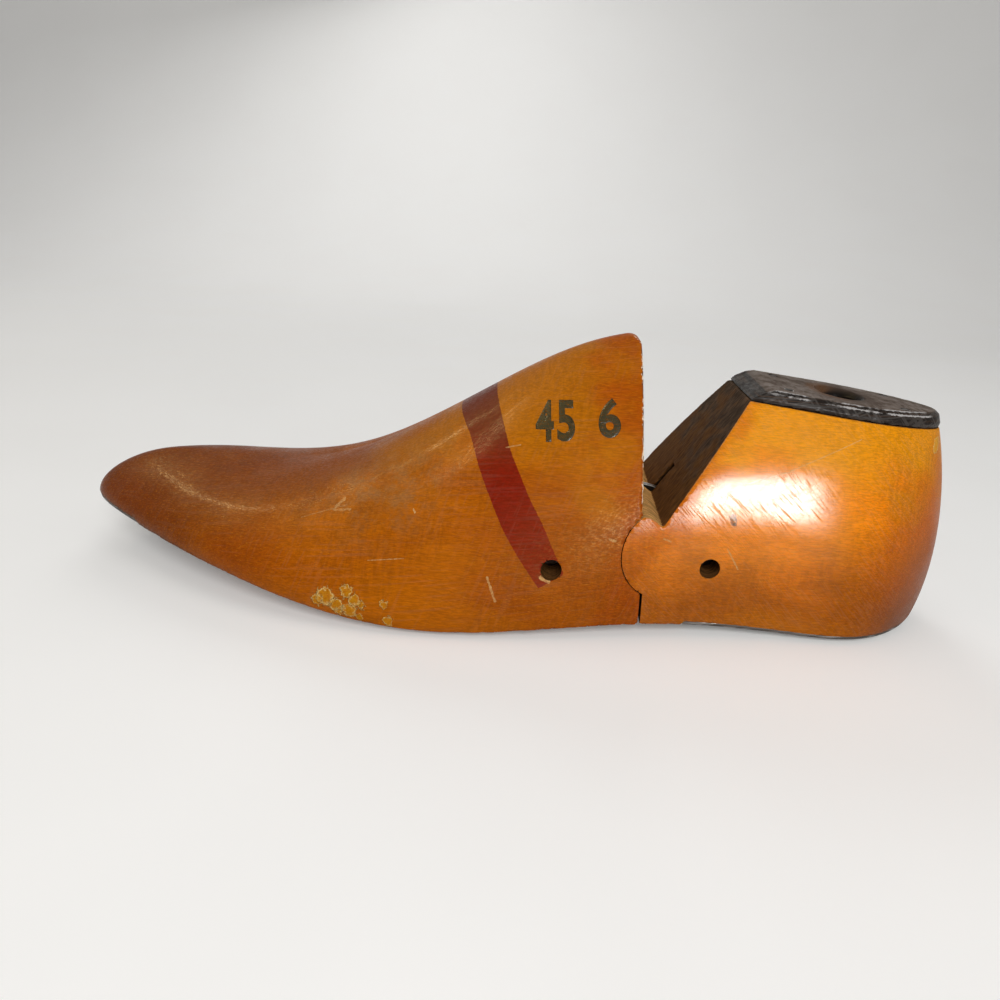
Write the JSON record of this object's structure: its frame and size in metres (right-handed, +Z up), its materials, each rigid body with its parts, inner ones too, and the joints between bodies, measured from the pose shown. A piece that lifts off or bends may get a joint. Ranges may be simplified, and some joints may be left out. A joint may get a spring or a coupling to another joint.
{
  "type": "shoe last",
  "caption": "Hinged wooden form for making a left shoe: varnished last with a V cut, spring link on steel pins, dark top piece with a jack-pin hole, and steel plates under heel and toe.",
  "frame": {"origin": "centre of the bounding box, on the surface that the last stands on", "axes": "+Z up, -X towards the toe, +X towards the heel, -Y towards the outer side of the foot; the hinge's middle plane is y = 0"},
  "size_m": [0.3062, 0.0998, 0.0928],
  "materials": {
    "varnished_maple": "amber varnished maple, glossy and worn",
    "worn_fibre": "near-black waxed leather board, worn",
    "dull_steel": "dull, darkened steel",
    "spring_steel": "worn spring steel"
  },
  "bodies": {
    "forepart": {"forepart": "varnished_maple", "front_hinge_pin": "dull_steel", "toe_plate": "dull_steel", "toe_plate_nail_1": "dull_steel", "toe_plate_nail_2": "dull_steel", "toe_plate_nail_3": "dull_steel"},
    "heel": {"heel_part": "varnished_maple", "back_hinge_pin": "dull_steel", "top_piece": "worn_fibre", "thimble": "dull_steel", "heel_plate": "dull_steel", "heel_plate_nail_1": "dull_steel", "heel_plate_nail_2": "dull_steel", "heel_plate_nail_3": "dull_steel", "heel_plate_nail_4": "dull_steel", "heel_plate_nail_5": "dull_steel", "heel_plate_nail_6": "dull_steel", "heel_plate_nail_7": "dull_steel", "top_piece_nail_1": "dull_steel", "top_piece_nail_2": "dull_steel", "top_piece_nail_3": "dull_steel", "top_piece_nail_4": "dull_steel"},
    "link": {"link_plate_outer": "spring_steel", "link_plate_inner": "spring_steel"}
  },
  "joints": [
    {"name": "heel_fold", "type": "hinge", "parent": "forepart", "child": "heel", "pos_m": [0.0563, 0, 0.0291], "axis": [0, -1, 0], "range_deg": [0, 33]},
    {"name": "link_swing", "type": "hinge", "parent": "forepart", "child": "link", "pos_m": [0.0198, 0, 0.0239], "axis": [0, -1, 0], "range_deg": [0, 9.5]}
  ],
  "couplings": [
    {"joint": "link_swing", "follows": "heel_fold", "ratio": 0.281}
  ]
}
